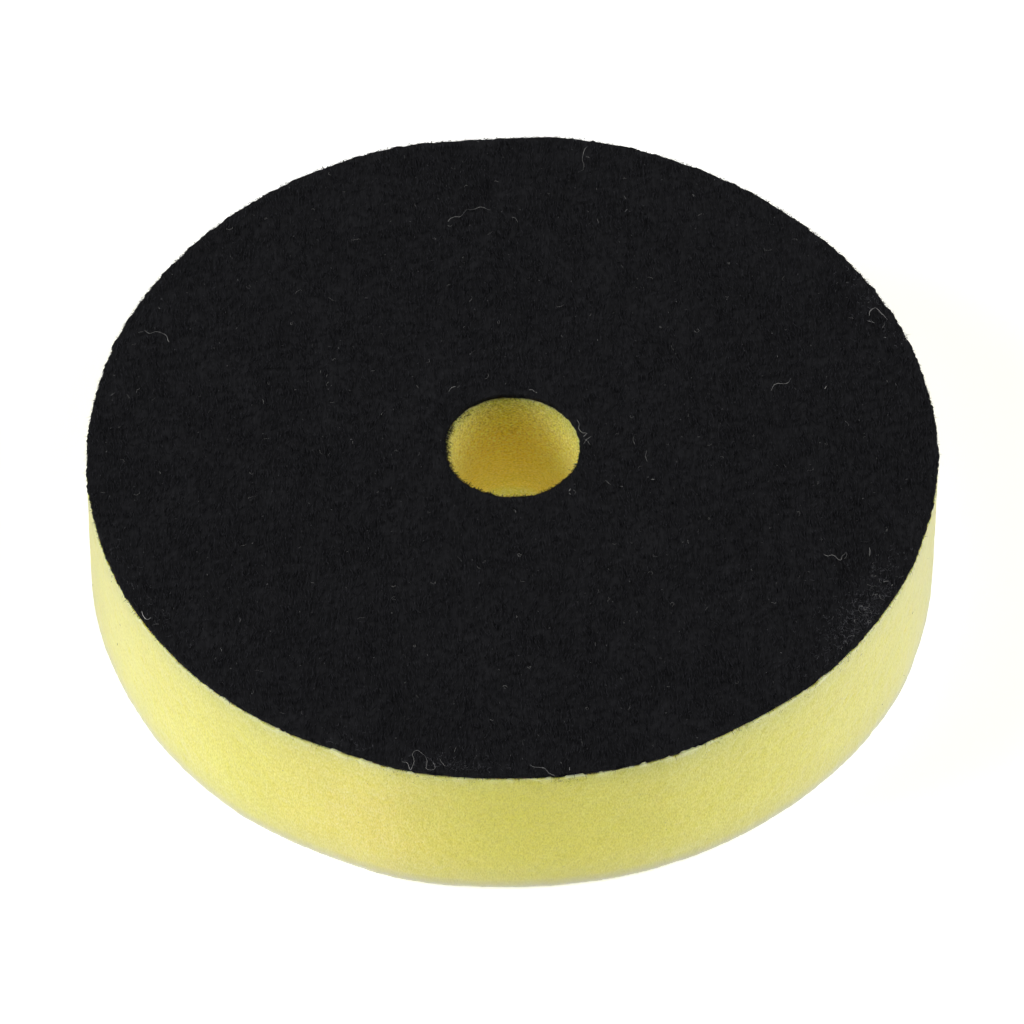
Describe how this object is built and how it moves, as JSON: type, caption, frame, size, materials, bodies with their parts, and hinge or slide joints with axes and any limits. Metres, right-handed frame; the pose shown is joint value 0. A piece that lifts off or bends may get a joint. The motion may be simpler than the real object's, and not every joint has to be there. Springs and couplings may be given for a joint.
{
  "type": "foam polishing pad",
  "caption": "Thick round foam polishing pad with a brushed loop backing and a centre hole, laid polishing face down; the backing grips a machine's hook-faced plate.",
  "frame": {"origin": "centre of the polishing face, on the axis of the disc, where the pad rests on the surface under it", "axes": "+Z along the disc's axis from the polishing face up to the loop backing; +Y along the nap of the pile, away from the front of the view; +X to the right of that view"},
  "size_m": [0.15, 0.15, 0.031],
  "materials": {
    "yellow_foam": "matte open-cell polyurethane foam",
    "clear_adhesive": "translucent hot-melt film",
    "black_knit": "matte warp-knit polyester ground",
    "black_pile": "matte brushed loop pile"
  },
  "bodies": {
    "root": {"foam_disc": "yellow_foam", "adhesive_film": "clear_adhesive", "backing_ground_cloth": "black_knit", "backing_loop_pile": "black_pile"}
  },
  "joints": []
}
